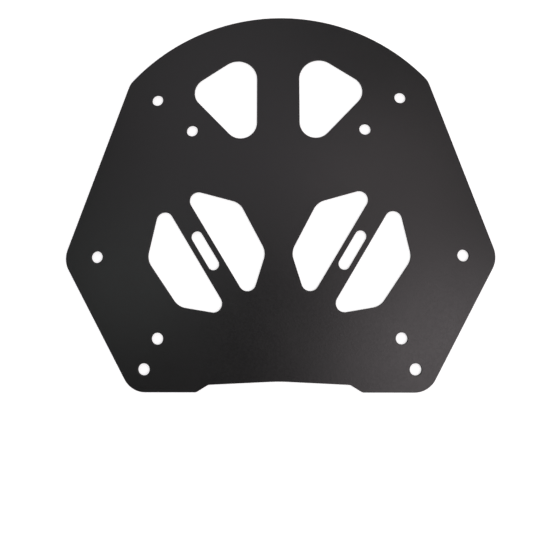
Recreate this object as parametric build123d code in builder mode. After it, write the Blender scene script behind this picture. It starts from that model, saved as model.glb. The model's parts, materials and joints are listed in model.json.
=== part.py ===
from build123d import *
from math import cos, hypot, radians, sin
import os

# Flat sheet-steel plate that carries a top case on a motorbike's rear rack.
# X runs across the plate, +Y towards its round end and +Z up, and the plate lies on Z = 0.
# Places are measured across from the centre line and up from the straight notched edge.

# Sheet, with its coating
thickness = 2.0
edge_bevel = 0.3

# Outline: a round end, a long and a short slanted side, and a straight edge with a shallow notch
dome_center_up = 112.4
dome_margin = 21.5
shoulder_angle = 40.5
shoulder_round = 13.0
side_margin = 21.2
side_corner_up = 80.1
side_corner_round = 16.0
foot_corner_across = 90.2
foot_corner_round = 15.0
notch_mouth_across = 50.4
notch_mouth_round = 3.8
notch_floor_across = 43.1
notch_floor_up = 4.4
notch_floor_round = 3.4
notch_peak_up = 6.4
notch_peak_round = 125.0

# Bolt holes, in mirrored pairs
bolt_hole = 7.3
crown_pair_spacing = 159.6
crown_pair_up = 185.1
inner_pair_spacing = 112.8
inner_pair_up = 164.1
side_pair_spacing = 230.5
side_pair_up = 82.1
upper_foot_pair_spacing = 150.4
upper_foot_pair_up = 31.7
lower_foot_pair_spacing = 165.9
lower_foot_pair_up = 13.4

# Slanted slot on each side, in the strip between two windows
slot_across = 46.5
slot_up = 85.9
slot_angle = 58.4
slot_length = 27.6
slot_width = 7.3
slot_to_window = 3.3

# Windows beside the slot, each the other's mirror image: places along the slot's line and out from it
window_low_end = 43.1
window_high_end = 43.9
window_end_round = 5.5
window_low_corner_along = 21.1
window_low_corner_out = 32.2
window_low_corner_round = 11.0
window_high_corner_along = 14.6
window_high_corner_out = 34.4
window_high_corner_round = 11.0

# Three-cornered window on each side, near the round end
crown_window_inner_across = 14.0
crown_window_top_up = 223.1
crown_window_top_round = 12.9
crown_window_outer_across = 61.2
crown_window_outer_up = 192.1
crown_window_outer_round = 10.4
crown_window_low_up = 143.2
crown_window_low_round = 10.5

# The round end and the side corners keep their margins outside the holes next to them
dome_radius = hypot(crown_pair_spacing / 2, crown_pair_up - dome_center_up) + dome_margin
side_corner_across = side_pair_spacing / 2 + side_margin
plate_length = dome_center_up + dome_radius
sheet_plane = Plane(origin=(0, -plate_length / 2, 0))


def from_slot(along, out):
    # A place on the sheet, from one given along the slot's line and out from it
    turn = radians(slot_angle)
    return (
        slot_across + along * cos(turn) - out * sin(turn),
        slot_up + along * sin(turn) + out * cos(turn),
    )


def corners_at(sketch, across, up):
    # The outline's corner at this place, with its mirror image
    place = Vector(across, up)
    return [v for v in sketch.vertices() if (Vector(abs(v.X), v.Y) - place).length < 0.01]


with BuildSketch(sheet_plane) as outline:
    with BuildLine():
        dome = CenterArc((0, dome_center_up), dome_radius, shoulder_angle, 180 - 2 * shoulder_angle)
        shoulder = dome @ 0
        side = Polyline(
            shoulder,
            (side_corner_across, side_corner_up),
            (foot_corner_across, 0),
            (notch_mouth_across, 0),
            (notch_floor_across, notch_floor_up),
            (0, notch_peak_up),
        )
        mirror(side, about=Plane.YZ)
    make_face()
    fillet(corners_at(outline, shoulder.X, shoulder.Y), shoulder_round)
    fillet(corners_at(outline, side_corner_across, side_corner_up), side_corner_round)
    fillet(corners_at(outline, foot_corner_across, 0), foot_corner_round)
    fillet(corners_at(outline, notch_mouth_across, 0), notch_mouth_round)
    fillet(corners_at(outline, notch_floor_across, notch_floor_up), notch_floor_round)
    fillet(corners_at(outline, 0, notch_peak_up), notch_peak_round)

with BuildSketch(sheet_plane) as openings:
    # A window on each side of the slot, with its long side parallel to the slot
    for toward in (1, -1):
        with BuildLine():
            FilletPolyline(
                from_slot(-window_low_end, toward * (slot_width / 2 + slot_to_window)),
                from_slot(-window_low_corner_along, toward * window_low_corner_out),
                from_slot(window_high_corner_along, toward * window_high_corner_out),
                from_slot(window_high_end, toward * (slot_width / 2 + slot_to_window)),
                radius=(
                    window_end_round,
                    window_low_corner_round,
                    window_high_corner_round,
                    window_end_round,
                ),
                close=True,
            )
        make_face()

    # The three-cornered window has one side parallel to the centre line
    with BuildLine():
        FilletPolyline(
            (crown_window_inner_across, crown_window_top_up),
            (crown_window_outer_across, crown_window_outer_up),
            (crown_window_inner_across, crown_window_low_up),
            radius=(crown_window_top_round, crown_window_outer_round, crown_window_low_round),
            close=True,
        )
    make_face()

    with Locations(Location((slot_across, slot_up), slot_angle)):
        SlotOverall(slot_length, slot_width)
    with Locations(
        (crown_pair_spacing / 2, crown_pair_up),
        (inner_pair_spacing / 2, inner_pair_up),
        (side_pair_spacing / 2, side_pair_up),
        (upper_foot_pair_spacing / 2, upper_foot_pair_up),
        (lower_foot_pair_spacing / 2, lower_foot_pair_up),
    ):
        Circle(bolt_hole / 2)
    mirror(about=Plane.YZ)

# One sheet, with every cut edge broken on both faces
with BuildPart() as mounting_plate:
    extrude(outline.sketch, amount=thickness)
    extrude(openings.sketch, amount=thickness, mode=Mode.SUBTRACT)
    flat_faces = mounting_plate.faces().filter_by(Axis.Z)
    chamfer(flat_faces.edges(), min(edge_bevel, thickness / 4))

mounting_plate.part.label = "mounting_plate"
size = mounting_plate.part.bounding_box().size
print("mounting_plate", round(size.X, 2), round(size.Y, 2), round(size.Z, 2))

os.makedirs("parts", exist_ok=True)
export_step(mounting_plate.part, "parts/mounting_plate.step")
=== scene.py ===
import json
from math import atan2, cos, pi, radians, sin, sqrt, tan

import bpy
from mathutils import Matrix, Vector


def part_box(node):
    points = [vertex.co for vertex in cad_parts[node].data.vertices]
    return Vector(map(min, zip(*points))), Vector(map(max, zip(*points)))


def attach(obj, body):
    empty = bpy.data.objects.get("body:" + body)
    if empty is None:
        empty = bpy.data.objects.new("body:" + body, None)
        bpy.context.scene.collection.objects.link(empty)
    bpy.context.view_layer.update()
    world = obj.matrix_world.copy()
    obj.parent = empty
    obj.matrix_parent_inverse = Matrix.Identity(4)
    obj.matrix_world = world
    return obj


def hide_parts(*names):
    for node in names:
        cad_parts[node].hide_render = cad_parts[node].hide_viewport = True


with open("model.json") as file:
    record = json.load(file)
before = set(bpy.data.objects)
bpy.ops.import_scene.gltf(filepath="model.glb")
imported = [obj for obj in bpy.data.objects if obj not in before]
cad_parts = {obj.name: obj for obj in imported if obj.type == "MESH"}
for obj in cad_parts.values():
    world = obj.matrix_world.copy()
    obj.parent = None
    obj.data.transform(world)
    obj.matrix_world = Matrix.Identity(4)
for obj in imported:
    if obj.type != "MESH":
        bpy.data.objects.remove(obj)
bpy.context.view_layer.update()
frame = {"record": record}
mm = 0.001
scene = bpy.context.scene
scene.view_settings.view_transform = "Standard"
print("frame loaded")


# outline helpers, in millimetres
def arcPoints(centre, radius, start, sweep, steps):
    turns = [start + sweep * i / steps for i in range(steps + 1)]
    return [(centre[0] + radius * cos(a), centre[1] + radius * sin(a)) for a in turns]


def roundCorner(before, corner, after, radius, steps):
    corner = Vector(corner)
    toBefore = (Vector(before) - corner).normalized()
    toAfter = (Vector(after) - corner).normalized()
    half = toBefore.angle(toAfter) / 2
    centre = corner + (toBefore + toAfter).normalized() * radius / sin(half)
    first = corner + toBefore * radius / tan(half) - centre
    last = corner + toAfter * radius / tan(half) - centre
    start = atan2(first.y, first.x)
    sweep = (atan2(last.y, last.x) - start + pi) % (2 * pi) - pi
    return arcPoints(centre, radius, start, sweep, steps)


def roundedLoop(corners, steps):
    points = []
    for i, (across, up, radius) in enumerate(corners):
        before = corners[i - 1][:2]
        after = corners[(i + 1) % len(corners)][:2]
        points += roundCorner(before, (across, up), after, radius, steps)
    return points


def mirrored(loop):
    # the other half of the plate, still running the same way round
    return [(-x, y) for x, y in reversed(loop)]


# the sheet, in millimetres: places are given across from the centre line and up from the notched
# edge, and a corner is (across, up, round)
sheet = {
    "edgeRound": 0.2,  # the coat softens every cut edge
    "edgeSteps": 5,
    "weldGap": 0.001,  # points nearer than this are joined
    "wallLean": 0.3,  # faces that face up or down less than this are walls of a cut
    "cornerSteps": 14,
    "domeSteps": 180,
    "holeSteps": 64,
    "domeCentreUp": 112.4,
    "domeMargin": 21.5,  # metal outside the crown holes
    "shoulderAngle": 40.5,
    "shoulderRound": 13.0,
    "sideMargin": 21.2,  # metal outside the side holes
    "sideCornerUp": 80.1,
    "sideCornerRound": 16.0,
    "footCorner": (90.2, 0.0, 15.0),
    "notchMouth": (50.4, 0.0, 3.8),
    "notchFloor": (43.1, 4.4, 3.4),
    "notchPeak": (0.0, 6.4, 125.0),
    "crownWindow": [(14.0, 223.1, 12.9), (14.0, 143.2, 10.5), (61.2, 192.1, 10.4)],
    "slotAngle": 58.4,
    "slotLength": 27.6,
    "slotWidth": 7.3,
    "slotStrip": 3.3,  # metal between the slot and the window on each side of it
    "slotWindowEnds": (-43.1, 43.9),  # places along the slot's line
    "slotWindowEndRound": 5.5,
    "slotWindowLow": (-21.1, 32.2, 11.0),  # a corner here is (along the line, out from it, round)
    "slotWindowHigh": (14.6, 34.4, 11.0),
}

# the holes, the slots' places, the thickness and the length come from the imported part
mounts = {mount["name"]: mount for mount in frame["record"]["mounts"]}
boxLow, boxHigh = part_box("mounting_plate")
thickness = (boxHigh.z - boxLow.z) / mm
length = (boxHigh.y - boxLow.y) / mm


def fromMount(name):
    # the middle of a mount, up from the notched edge
    place = mounts[name]["pos_m"]
    return Vector((place[0] / mm, place[1] / mm + length / 2))


def holeSpacing(name):
    return mounts[name]["dims"]["spacing_x_mm"]


def plateOutline():
    steps = sheet["cornerSteps"]
    domeCentre = Vector((0, sheet["domeCentreUp"]))
    crownHole = fromMount("crown_pair_holes") + Vector((holeSpacing("crown_pair_holes") / 2, 0))
    domeRadius = (crownHole - domeCentre).length + sheet["domeMargin"]
    lean = radians(sheet["shoulderAngle"])
    shoulder = domeCentre + domeRadius * Vector((cos(lean), sin(lean)))
    side = Vector((holeSpacing("side_pair_holes") / 2 + sheet["sideMargin"], sheet["sideCornerUp"]))

    # the shoulder's arc touches the long side and the dome
    radius = sheet["shoulderRound"]
    along = (side - shoulder).normalized()
    inward = Vector((along.y, -along.x))
    fromDome = shoulder + inward * radius - domeCentre
    back = fromDome.dot(along)
    swing = sqrt(back**2 - fromDome.length_squared + (domeRadius - radius) ** 2)
    centre = domeCentre + fromDome + along * min(-back - swing, -back + swing, key=abs)
    start = atan2(-inward.y, -inward.x)
    domeStart = atan2(centre.y - domeCentre.y, centre.x)
    shoulderArc = arcPoints(centre, radius, start, domeStart - start, steps)
    domeArc = arcPoints(domeCentre, domeRadius, domeStart, pi - 2 * domeStart, sheet["domeSteps"])

    floor, mouth = sheet["notchFloor"], sheet["notchMouth"]
    foot, peak = sheet["footCorner"], sheet["notchPeak"]
    right = roundCorner(peak[:2], floor[:2], mouth[:2], floor[2], steps)
    right += roundCorner(floor[:2], mouth[:2], foot[:2], mouth[2], steps)
    right += roundCorner(mouth[:2], foot[:2], side, foot[2], steps)
    right += roundCorner(foot[:2], side, shoulder, sheet["sideCornerRound"], steps)
    right += shoulderArc
    notch = roundCorner((-floor[0], floor[1]), peak[:2], floor[:2], peak[2], steps)
    return right + domeArc[1:-1] + mirrored(right) + notch


def besideSlot(along, out):
    # a place given along the slot's line and out from it
    turn = radians(sheet["slotAngle"])
    line = Vector((cos(turn), sin(turn)))
    return fromMount("right_slot") + along * line + out * Vector((-line.y, line.x))


def slotLoop():
    radius = sheet["slotWidth"] / 2
    turn = radians(sheet["slotAngle"])
    reach = sheet["slotLength"] / 2 - radius
    steps = sheet["holeSteps"] // 2
    upper = arcPoints(besideSlot(reach, 0), radius, turn - pi / 2, pi, steps)
    lower = arcPoints(besideSlot(-reach, 0), radius, turn + pi / 2, pi, steps)
    return upper + lower


def slotWindow(toward):
    # toward is 1 for the window nearer the middle and -1 for the outer one
    out = sheet["slotWidth"] / 2 + sheet["slotStrip"]
    low, high = sheet["slotWindowEnds"]
    corners = [
        (low, out, sheet["slotWindowEndRound"]),
        (high, out, sheet["slotWindowEndRound"]),
        sheet["slotWindowHigh"],
        sheet["slotWindowLow"],
    ]
    placed = [(*besideSlot(along, toward * away), radius) for along, away, radius in corners]
    return roundedLoop(placed[::toward], sheet["cornerSteps"])


def cutLines():
    # the metal lies on the right of every line, so the outline runs clockwise and the openings
    # the other way
    crownWindow = roundedLoop(sheet["crownWindow"], sheet["cornerSteps"])
    right = [crownWindow, slotLoop(), slotWindow(1), slotWindow(-1)]
    loops = [plateOutline()[::-1]] + right + [mirrored(loop) for loop in right]
    lines = bpy.data.curves.new("cutLines", "CURVE")
    lines.dimensions = "3D"
    for loop in loops:
        spline = lines.splines.new("POLY")
        spline.points.add(len(loop) - 1)
        for point, (x, y) in zip(spline.points, loop):
            point.co = (x * mm, (y - length / 2) * mm, 0, 1)
        spline.use_cyclic_u = True
    return bpy.data.objects.new("cutLines", lines)


def holeCentres():
    patterns = [mount for mount in mounts.values() if mount["kind"] == "bolt_pattern"]
    centres = []
    for mount in patterns:
        half = mount["dims"]["spacing_x_mm"] * mm / 2
        centres += [(side * half, mount["pos_m"][1], 0) for side in (-1, 1)]
    mesh = bpy.data.meshes.new("plate")
    mesh.from_pydata(centres, [], [])
    return mesh, patterns[0]["dims"]["hole_r_mm"]


# the node trees: a setting is a property of the node or else one of its inputs
def addNode(tree, kind, place, **settings):
    node = tree.nodes.new(kind)
    node.location = place
    for name, value in settings.items():
        if hasattr(node, name):
            setattr(node, name, value)
        else:
            node.inputs[name].default_value = value
    return node


def addRange(tree, place, given, wanted, **settings):
    # a node that carries values from one range to another
    node = addNode(tree, "ShaderNodeMapRange", place, **settings)
    ends = zip(("From Min", "From Max", "To Min", "To Max"), (*given, *wanted))
    for name, value in ends:
        node.inputs[name].default_value = value
    return node


def addNoise(tree, place, size, detail):
    node = addNode(tree, "ShaderNodeTexNoise", place, Detail=detail)
    node.inputs["Scale"].default_value = 1 / (size * mm)
    return node


def cutSheetTree():
    # a rim is swept along every cut line, and a cap fills what is left on each face
    tree = bpy.data.node_groups.new("cutSheet", "GeometryNodeTree")
    sockets = {
        "Hole Centres": "NodeSocketGeometry",
        "Cut Lines": "NodeSocketObject",
        "Hole Radius": "NodeSocketFloat",
        "Hole Steps": "NodeSocketInt",
        "Thickness": "NodeSocketFloat",
        "Edge Round": "NodeSocketFloat",
        "Edge Steps": "NodeSocketInt",
        "Coat": "NodeSocketMaterial",
        "Cut Walls": "NodeSocketMaterial",
    }
    for name, kind in sockets.items():
        tree.interface.new_socket(name, in_out="INPUT", socket_type=kind)
    tree.interface.new_socket("Plate", in_out="OUTPUT", socket_type="NodeSocketGeometry")
    link = tree.links.new
    given = addNode(tree, "NodeGroupInput", (-1400, 0)).outputs

    # every cut line: the outline, windows and slots, and a circle at each hole centre
    drawn = addNode(tree, "GeometryNodeObjectInfo", (-1150, 300), transform_space="ORIGINAL")
    link(given["Cut Lines"], drawn.inputs["Object"])
    circle = addNode(tree, "GeometryNodeCurvePrimitiveCircle", (-1150, 0))
    link(given["Hole Steps"], circle.inputs["Resolution"])
    link(given["Hole Radius"], circle.inputs["Radius"])
    holes = addNode(tree, "GeometryNodeInstanceOnPoints", (-950, 0))
    link(given["Hole Centres"], holes.inputs["Points"])
    link(circle.outputs["Curve"], holes.inputs["Instance"])
    single = addNode(tree, "GeometryNodeRealizeInstances", (-750, 0))
    link(holes.outputs["Instances"], single.inputs["Geometry"])
    lines = addNode(tree, "GeometryNodeJoinGeometry", (-550, 200))
    link(single.outputs["Geometry"], lines.inputs["Geometry"])
    link(drawn.outputs["Geometry"], lines.inputs["Geometry"])
    level = addNode(tree, "GeometryNodeSetCurveNormal", (-350, 200), mode="Z_UP")
    link(lines.outputs["Geometry"], level.inputs["Curve"])

    # the rim's section: from the underside's arc up the cut wall and over the top arc
    inset = addNode(tree, "ShaderNodeCombineXYZ", (-950, -300))
    link(given["Edge Round"], inset.inputs["X"])
    link(given["Edge Round"], inset.inputs["Y"])
    arcs = []
    for start in (pi, pi / 2):
        arc = addNode(tree, "GeometryNodeCurveArc", (-950, -500), mode="RADIUS")
        arc.inputs["Start Angle"].default_value = start
        arc.inputs["Sweep Angle"].default_value = pi / 2
        link(given["Edge Steps"], arc.inputs["Resolution"])
        link(given["Edge Round"], arc.inputs["Radius"])
        arcs.append(arc)
    wallEnd = addNode(tree, "ShaderNodeMath", (-950, -700), operation="SUBTRACT")
    link(given["Thickness"], wallEnd.inputs[0])
    link(given["Edge Round"], wallEnd.inputs[1])
    farInset = addNode(tree, "ShaderNodeCombineXYZ", (-750, -600))
    link(given["Edge Round"], farInset.inputs["X"])
    link(wallEnd.outputs["Value"], farInset.inputs["Y"])
    wall = addNode(tree, "GeometryNodeCurvePrimitiveLine", (-550, -500))
    wallTop = addNode(tree, "ShaderNodeCombineXYZ", (-750, -400))
    link(given["Edge Round"], wallTop.inputs["Y"])
    wallBottom = addNode(tree, "ShaderNodeCombineXYZ", (-750, -750))
    link(wallEnd.outputs["Value"], wallBottom.inputs["Y"])
    link(wallBottom.outputs["Vector"], wall.inputs["Start"])
    link(wallTop.outputs["Vector"], wall.inputs["End"])
    section = addNode(tree, "GeometryNodeJoinGeometry", (-350, -400))
    for arc, centre in zip(arcs, (inset, farInset)):
        moved = addNode(tree, "GeometryNodeTransform", (-550, -300))
        link(arc.outputs["Curve"], moved.inputs["Geometry"])
        link(centre.outputs["Vector"], moved.inputs["Translation"])
        link(moved.outputs["Geometry"], section.inputs["Geometry"])
    link(wall.outputs["Curve"], section.inputs["Geometry"])
    rim = addNode(tree, "GeometryNodeCurveToMesh", (-150, 100))
    link(level.outputs["Curve"], rim.inputs["Curve"])
    link(section.outputs["Geometry"], rim.inputs["Profile Curve"])
    smoothRim = addNode(tree, "GeometryNodeSetShadeSmooth", (50, 100))
    link(rim.outputs["Mesh"], smoothRim.inputs["Geometry"])

    # the caps, inset by the edge's round
    facing = addNode(tree, "GeometryNodeInputNormal", (-350, 500))
    inward = addNode(tree, "ShaderNodeVectorMath", (-150, 500), operation="SCALE")
    link(facing.outputs["Normal"], inward.inputs[0])
    link(given["Edge Round"], inward.inputs["Scale"])
    pulled = addNode(tree, "GeometryNodeSetPosition", (50, 400))
    link(level.outputs["Curve"], pulled.inputs["Geometry"])
    link(inward.outputs["Vector"], pulled.inputs["Offset"])
    cap = addNode(tree, "GeometryNodeFillCurve", (250, 400))
    link(pulled.outputs["Geometry"], cap.inputs["Curve"])
    flatCap = addNode(tree, "GeometryNodeSetShadeSmooth", (450, 400))
    flatCap.inputs["Shade Smooth"].default_value = False
    link(cap.outputs["Mesh"], flatCap.inputs["Geometry"])
    down = addNode(tree, "ShaderNodeMath", (250, -100), operation="MULTIPLY")
    down.inputs[1].default_value = -1
    link(given["Thickness"], down.inputs[0])
    downBy = addNode(tree, "ShaderNodeCombineXYZ", (450, -100))
    link(down.outputs["Value"], downBy.inputs["Z"])
    lowCap = addNode(tree, "GeometryNodeTransform", (650, 200))
    link(flatCap.outputs["Geometry"], lowCap.inputs["Geometry"])
    link(downBy.outputs["Vector"], lowCap.inputs["Translation"])
    turned = addNode(tree, "GeometryNodeFlipFaces", (850, 200))
    link(lowCap.outputs["Geometry"], turned.inputs["Mesh"])

    # close the solid and stand it on its underside
    closed = addNode(tree, "GeometryNodeJoinGeometry", (1050, 200))
    shells = (smoothRim.outputs["Geometry"], flatCap.outputs["Geometry"], turned.outputs["Mesh"])
    for shell in shells:
        link(shell, closed.inputs["Geometry"])
    welded = addNode(tree, "GeometryNodeMergeByDistance", (1250, 200))
    welded.inputs["Distance"].default_value = sheet["weldGap"] * mm
    link(closed.outputs["Geometry"], welded.inputs["Geometry"])
    upBy = addNode(tree, "ShaderNodeCombineXYZ", (1250, 0))
    link(given["Thickness"], upBy.inputs["Z"])
    stood = addNode(tree, "GeometryNodeTransform", (1450, 200))
    link(welded.outputs["Geometry"], stood.inputs["Geometry"])
    link(upBy.outputs["Vector"], stood.inputs["Translation"])
    real = addNode(tree, "GeometryNodeRealizeInstances", (1650, 200))
    link(stood.outputs["Geometry"], real.inputs["Geometry"])
    coated = addNode(tree, "GeometryNodeSetMaterial", (1850, 200))
    link(real.outputs["Geometry"], coated.inputs["Geometry"])
    link(given["Coat"], coated.inputs["Material"])

    # the upright walls of the cuts have the duller coat
    faceNormal = addNode(tree, "GeometryNodeInputNormal", (1250, -200))
    parts = addNode(tree, "ShaderNodeSeparateXYZ", (1450, -200))
    link(faceNormal.outputs["Normal"], parts.inputs["Vector"])
    slant = addNode(tree, "ShaderNodeMath", (1650, -200), operation="ABSOLUTE")
    link(parts.outputs["Z"], slant.inputs[0])
    upright = addNode(tree, "FunctionNodeCompare", (1850, -200), operation="LESS_THAN")
    upright.inputs["B"].default_value = sheet["wallLean"]
    link(slant.outputs["Value"], upright.inputs["A"])
    walled = addNode(tree, "GeometryNodeSetMaterial", (2050, 200))
    link(coated.outputs["Geometry"], walled.inputs["Geometry"])
    link(upright.outputs["Result"], walled.inputs["Selection"])
    link(given["Cut Walls"], walled.inputs["Material"])
    out = addNode(tree, "NodeGroupOutput", (2250, 200))
    link(walled.outputs["Geometry"], out.inputs["Plate"])
    return tree


# the coat: satin black powder, baked on, and thinner and duller on the walls of the cuts
coat = {
    "colour": (0.0082, 0.0080, 0.0081, 1.0),
    "grainSize": 1.5,
    "grainDetail": 2.0,
    "grainDepth": 0.031,
    "grainDull": 0.04,  # roughness added in the grain's hollows
    "grainRange": (0.35, 0.65),  # from a hollow to a crest
    "patchSize": 45.0,
    "patchDetail": 3.0,
    "patchRange": (0.3, 0.7),
    "faceRoughness": (0.30, 0.34),  # smoothest and dullest patches
    "wallRoughness": (0.70, 0.80),
    "faceSpecular": 0.5,
    "wallSpecular": 0.2,
}


def powderCoat(name, roughness, specular):
    material = bpy.data.materials.new(name)
    material.use_nodes = True
    tree = material.node_tree
    tree.nodes.clear()
    link = tree.links.new
    place = addNode(tree, "ShaderNodeTexCoord", (-1200, 0))
    grain = addNoise(tree, (-950, -200), coat["grainSize"], coat["grainDetail"])
    patches = addNoise(tree, (-950, 200), coat["patchSize"], coat["patchDetail"])
    for noise in (grain, patches):
        link(place.outputs["Object"], noise.inputs["Vector"])
    sheen = addRange(tree, (-700, 200), coat["patchRange"], roughness)
    link(patches.outputs["Fac"], sheen.inputs["Value"])
    hollows = addRange(tree, (-700, -50), coat["grainRange"], (coat["grainDull"], 0.0))
    link(grain.outputs["Fac"], hollows.inputs["Value"])
    both = addNode(tree, "ShaderNodeMath", (-450, 100), operation="ADD")
    link(sheen.outputs["Result"], both.inputs[0])
    link(hollows.outputs["Result"], both.inputs[1])
    bump = addNode(tree, "ShaderNodeBump", (-450, -200), Strength=1.0)
    bump.inputs["Distance"].default_value = coat["grainDepth"] * mm
    link(grain.outputs["Fac"], bump.inputs["Height"])
    shader = addNode(tree, "ShaderNodeBsdfPrincipled", (-150, 0))
    shader.inputs["Base Color"].default_value = coat["colour"]
    shader.inputs["Specular IOR Level"].default_value = specular
    link(both.outputs["Value"], shader.inputs["Roughness"])
    link(bump.outputs["Normal"], shader.inputs["Normal"])
    out = addNode(tree, "ShaderNodeOutputMaterial", (150, 0))
    link(shader.outputs["BSDF"], out.inputs["Surface"])
    return material


def makePlate():
    lines = cutLines()
    mesh, holeRadius = holeCentres()
    plate = bpy.data.objects.new("plate", mesh)
    scene.collection.objects.link(lines)
    scene.collection.objects.link(plate)
    tree = cutSheetTree()
    values = {
        "Cut Lines": lines,
        "Hole Radius": holeRadius * mm,
        "Hole Steps": sheet["holeSteps"],
        "Thickness": thickness * mm,
        "Edge Round": sheet["edgeRound"] * mm,
        "Edge Steps": sheet["edgeSteps"] + 1,
        "Coat": powderCoat("blackPowderCoat", coat["faceRoughness"], coat["faceSpecular"]),
        "Cut Walls": powderCoat("blackCutWalls", coat["wallRoughness"], coat["wallSpecular"]),
    }
    cutting = plate.modifiers.new("cutting", "NODES")
    cutting.node_group = tree
    for item in tree.interface.items_tree:
        if item.in_out == "INPUT" and item.name in values:
            cutting[item.identifier] = values[item.name]
    depsgraph = bpy.context.evaluated_depsgraph_get()
    solid = bpy.data.meshes.new_from_object(plate.evaluated_get(depsgraph))
    plate.modifiers.remove(cutting)
    solid.materials.pop(index=0)  # the empty slot that the filled caps bring
    plate.data = solid
    solid.name = "plate"
    bpy.data.objects.remove(lines)
    return plate


plate = makePlate()
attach(plate, "root")
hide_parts("mounting_plate")
print("plate cut:", len(plate.data.polygons), "faces")


# a pale floor, which stays white in the camera and in what mirrors it, and keeps the shadow
floorLook = {
    "size": 8.0,  # metres
    "below": 0.02,  # millimetres under the plate
    "colour": (0.9, 0.9, 0.9, 1.0),
    "roughness": 0.9,
    "specular": 0.2,
    "seenWhite": 0.55,  # what the camera and mirrored rays see more of it
}


def makeFloor():
    place = (0, 0, -floorLook["below"] * mm)
    bpy.ops.mesh.primitive_plane_add(size=floorLook["size"], location=place)
    floor = bpy.context.object
    floor.name = "paleFloor"
    material = bpy.data.materials.new("paleFloor")
    material.use_nodes = True
    tree = material.node_tree
    link = tree.links.new
    shader = tree.nodes["Principled BSDF"]
    shader.inputs["Base Color"].default_value = floorLook["colour"]
    shader.inputs["Roughness"].default_value = floorLook["roughness"]
    shader.inputs["Specular IOR Level"].default_value = floorLook["specular"]
    shader.inputs["Emission Color"].default_value = (1, 1, 1, 1)
    rays = addNode(tree, "ShaderNodeLightPath", (-900, -200))
    seen = rays.outputs["Is Camera Ray"]
    for i, kind in enumerate(("Is Glossy Ray", "Is Transmission Ray")):
        either = addNode(tree, "ShaderNodeMath", (-650 + 200 * i, -200), operation="MAXIMUM")
        link(seen, either.inputs[0])
        link(rays.outputs[kind], either.inputs[1])
        seen = either.outputs["Value"]
    lift = addNode(tree, "ShaderNodeMath", (-200, -200), operation="MULTIPLY")
    lift.inputs[1].default_value = floorLook["seenWhite"]
    link(seen, lift.inputs[0])
    link(lift.outputs["Value"], shader.inputs["Emission Strength"])
    floor.data.materials.append(material)


# four soft round lamps at one height, all turned towards the plate: metres and watts
lampHeight = 0.75
lamps = {
    "keyLamp": {
        "place": (0.350, -0.260),
        "across": 0.50,
        "power": 1.842,
        "colour": (1.0, 0.908, 0.939),
    },
    "rightLamp": {
        "place": (0.220, 0.146),
        "across": 0.35,
        "power": 0.395,
        "colour": (1.0, 0.886, 0.907),
    },
    "backLamp": {
        "place": (-0.113, 0.257),
        "across": 0.52,
        "power": 0.445,
        "colour": (0.998, 0.923, 1.0),
    },
    "leftLamp": {
        "place": (-0.326, -0.045),
        "across": 0.28,
        "power": 0.185,
        "colour": (0.922, 1.0, 0.981),
    },
}


def makeLamp(name, place, across, power, colour):
    data = bpy.data.lights.new(name, "AREA")
    data.shape = "DISK"
    data.size = across
    data.energy = power
    data.color = colour
    lamp = bpy.data.objects.new(name, data)
    lamp.location = (*place, lampHeight)
    lamp.rotation_euler = (-lamp.location).to_track_quat("-Z", "Y").to_euler()
    lamp.visible_camera = False
    scene.collection.objects.link(lamp)


# white walls all round, fading to a dim ceiling that hangs lower at the left and the notched side:
# the fade's two ends are heights from 0 at the horizon to 1 straight above
room = {
    "walls": 1.0,
    "ceiling": 0.02,
    "wallsTop": 0.398,
    "ceilingEdge": 0.891,
    "ceilingLean": (-0.048, -0.113),
}


def makeRoom():
    world = bpy.data.worlds.new("whiteRoom")
    world.use_nodes = True
    tree = world.node_tree
    link = tree.links.new
    place = addNode(tree, "ShaderNodeTexCoord", (-900, 0))
    height = addNode(tree, "ShaderNodeVectorMath", (-700, 0), operation="DOT_PRODUCT")
    height.inputs[1].default_value = Vector((*room["ceilingLean"], 1.0)).normalized()
    link(place.outputs["Generated"], height.inputs[0])
    climb = (room["wallsTop"], room["ceilingEdge"])
    light = (room["walls"], room["ceiling"])
    fade = addRange(tree, (-450, 0), climb, light, interpolation_type="SMOOTHSTEP")
    link(height.outputs["Value"], fade.inputs["Value"])
    background = tree.nodes["Background"]
    background.inputs["Color"].default_value = (1, 1, 1, 1)
    link(fade.outputs["Result"], background.inputs["Strength"])
    scene.world = world


makeFloor()
for name, look in lamps.items():
    makeLamp(name, **look)
makeRoom()
print("floor and light ready")

# the camera looks down on the plate from close by: millimetres and degrees
view = {
    "height": 313.5,
    "foot": (8.66, 70.37),  # the place straight below it, across and up
    "turn": (8.025, 1.267, -0.207),
    "lens": 31.735,
    "sensor": 36.0,
    "shift": (-0.0027, -0.1330),
}


def makeCamera():
    data = bpy.data.cameras.new("camera")
    data.lens = view["lens"]
    data.sensor_width = view["sensor"]
    data.shift_x, data.shift_y = view["shift"]
    camera = bpy.data.objects.new("camera", data)
    across, up = view["foot"]
    camera.location = (across * mm, (up - length / 2) * mm, view["height"] * mm)
    camera.rotation_euler = [radians(angle) for angle in view["turn"]]
    scene.collection.objects.link(camera)
    scene.camera = camera


makeCamera()
print("camera ready")
